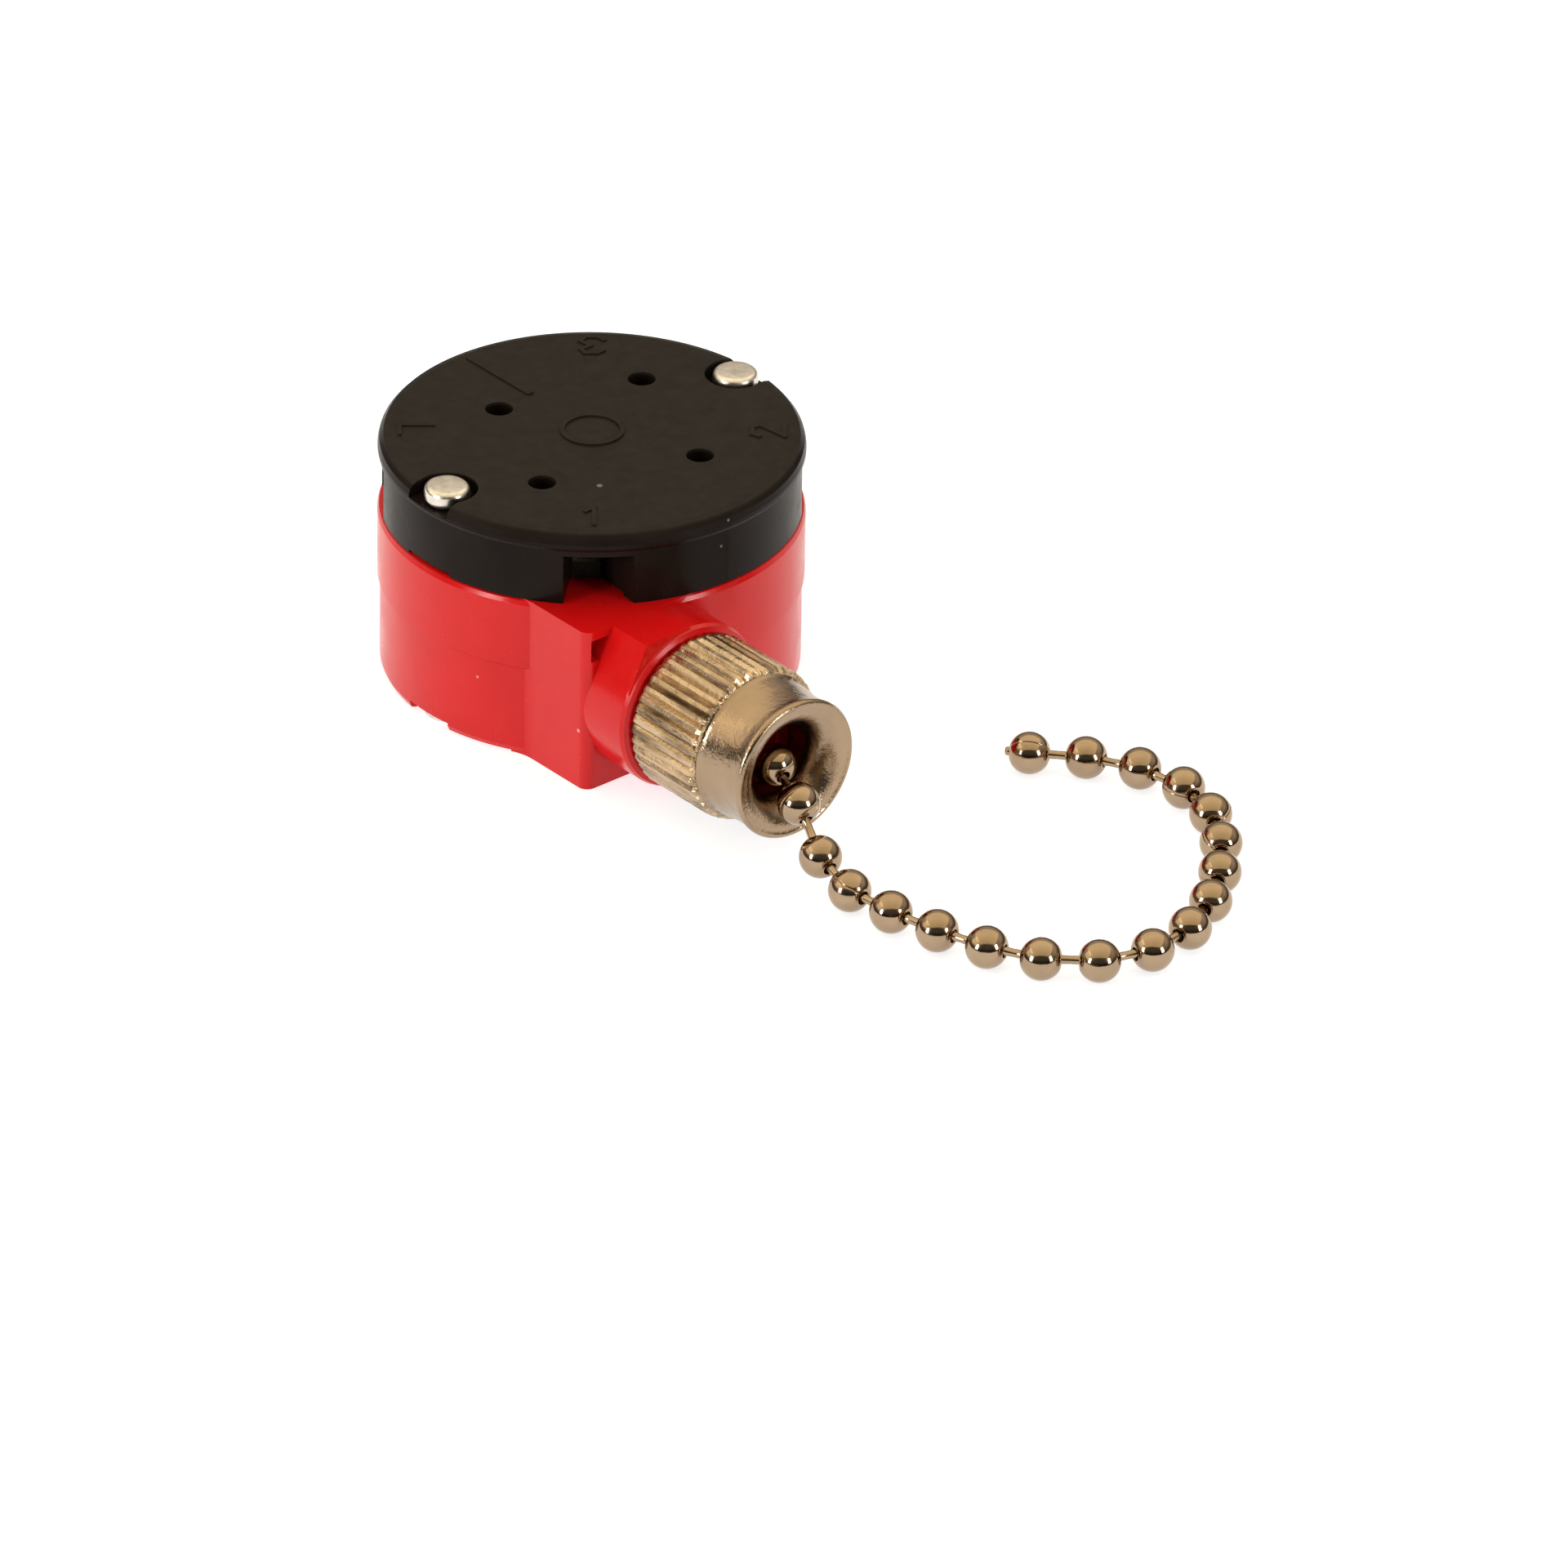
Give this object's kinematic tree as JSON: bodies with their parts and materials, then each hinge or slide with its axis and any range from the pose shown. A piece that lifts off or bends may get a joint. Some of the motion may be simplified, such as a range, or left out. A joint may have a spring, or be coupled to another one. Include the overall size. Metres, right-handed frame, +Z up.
{
  "type": "pull chain switch",
  "caption": "Round rotary switch for a fan or lamp, worked by a ball chain through a knurled bell-mouth nut, with push-in wire entries around its cover.",
  "frame": {"origin": "centre of the body's flat underside, on the axis of the round cup", "axes": "+Z up along the cup's axis through the cover, +X the way the chain leaves through the nut, +Y completes the right-handed frame"},
  "size_m": [0.0781, 0.037, 0.0195],
  "materials": {
    "red_plastic": "moulded gloss",
    "black_plastic": "moulded satin",
    "rivet_steel": "satin",
    "pin_steel": "ground",
    "spring_steel": "rolled",
    "nickel": "cast, nickel plated",
    "chain_nickel": "nickel plated",
    "nylon": "natural",
    "copper": "stamped",
    "brass_part": "stamped"
  },
  "bodies": {
    "housing": {"housing_cup": "red_plastic", "terminal_cover": "black_plastic", "rivet_near": "rivet_steel", "rivet_far": "rivet_steel", "pivot_pin": "pin_steel", "drum_washer": "pin_steel", "return_spring": "spring_steel", "rotor_spring": "spring_steel", "spring_washer": "pin_steel", "terminal_1": "brass_part", "terminal_2": "brass_part", "terminal_3": "brass_part", "terminal_l": "brass_part", "clamp_1": "spring_steel", "clamp_2": "spring_steel", "clamp_3": "spring_steel", "clamp_l": "spring_steel"},
    "nut": {"bell_nut": "nickel"},
    "drum": {"pull_drum": "nylon", "chain_anchor": "brass_part", "chain_wrap": "chain_nickel", "chain_wrap_links": "chain_nickel"},
    "rotor": {"ratchet_rotor": "nylon", "contact_plate": "copper"},
    "chain": {"chain_balls_inner": "chain_nickel", "chain_balls_mouth": "chain_nickel", "chain_balls_near": "chain_nickel", "chain_balls_far": "chain_nickel", "chain_links": "chain_nickel"}
  },
  "joints": [
    {"name": "chain_pull", "type": "slide", "parent": "housing", "child": "chain", "axis": [1, 0, 0], "range_m": [0, 0.01036], "stiffness_N_per_m": 600, "springref_m": -0.01, "deforming": ["return_spring"]},
    {"name": "drum_turn", "type": "hinge", "parent": "housing", "child": "drum", "pos_m": [0, 0, 0.00665], "axis": [0, 0, 1], "range_deg": [0, 90]},
    {"name": "rotor_index", "type": "hinge", "parent": "housing", "child": "rotor", "pos_m": [0, 0, 0.0117], "axis": [0, 0, 1], "continuous": true},
    {"name": "nut_turn", "type": "hinge", "parent": "housing", "child": "nut", "pos_m": [0.0255, -0.0066, 0.00665], "axis": [1, 0, 0], "continuous": true}
  ],
  "couplings": [
    {"joint": "drum_turn", "follows": "chain_pull", "rad_per_m": 151.52}
  ]
}
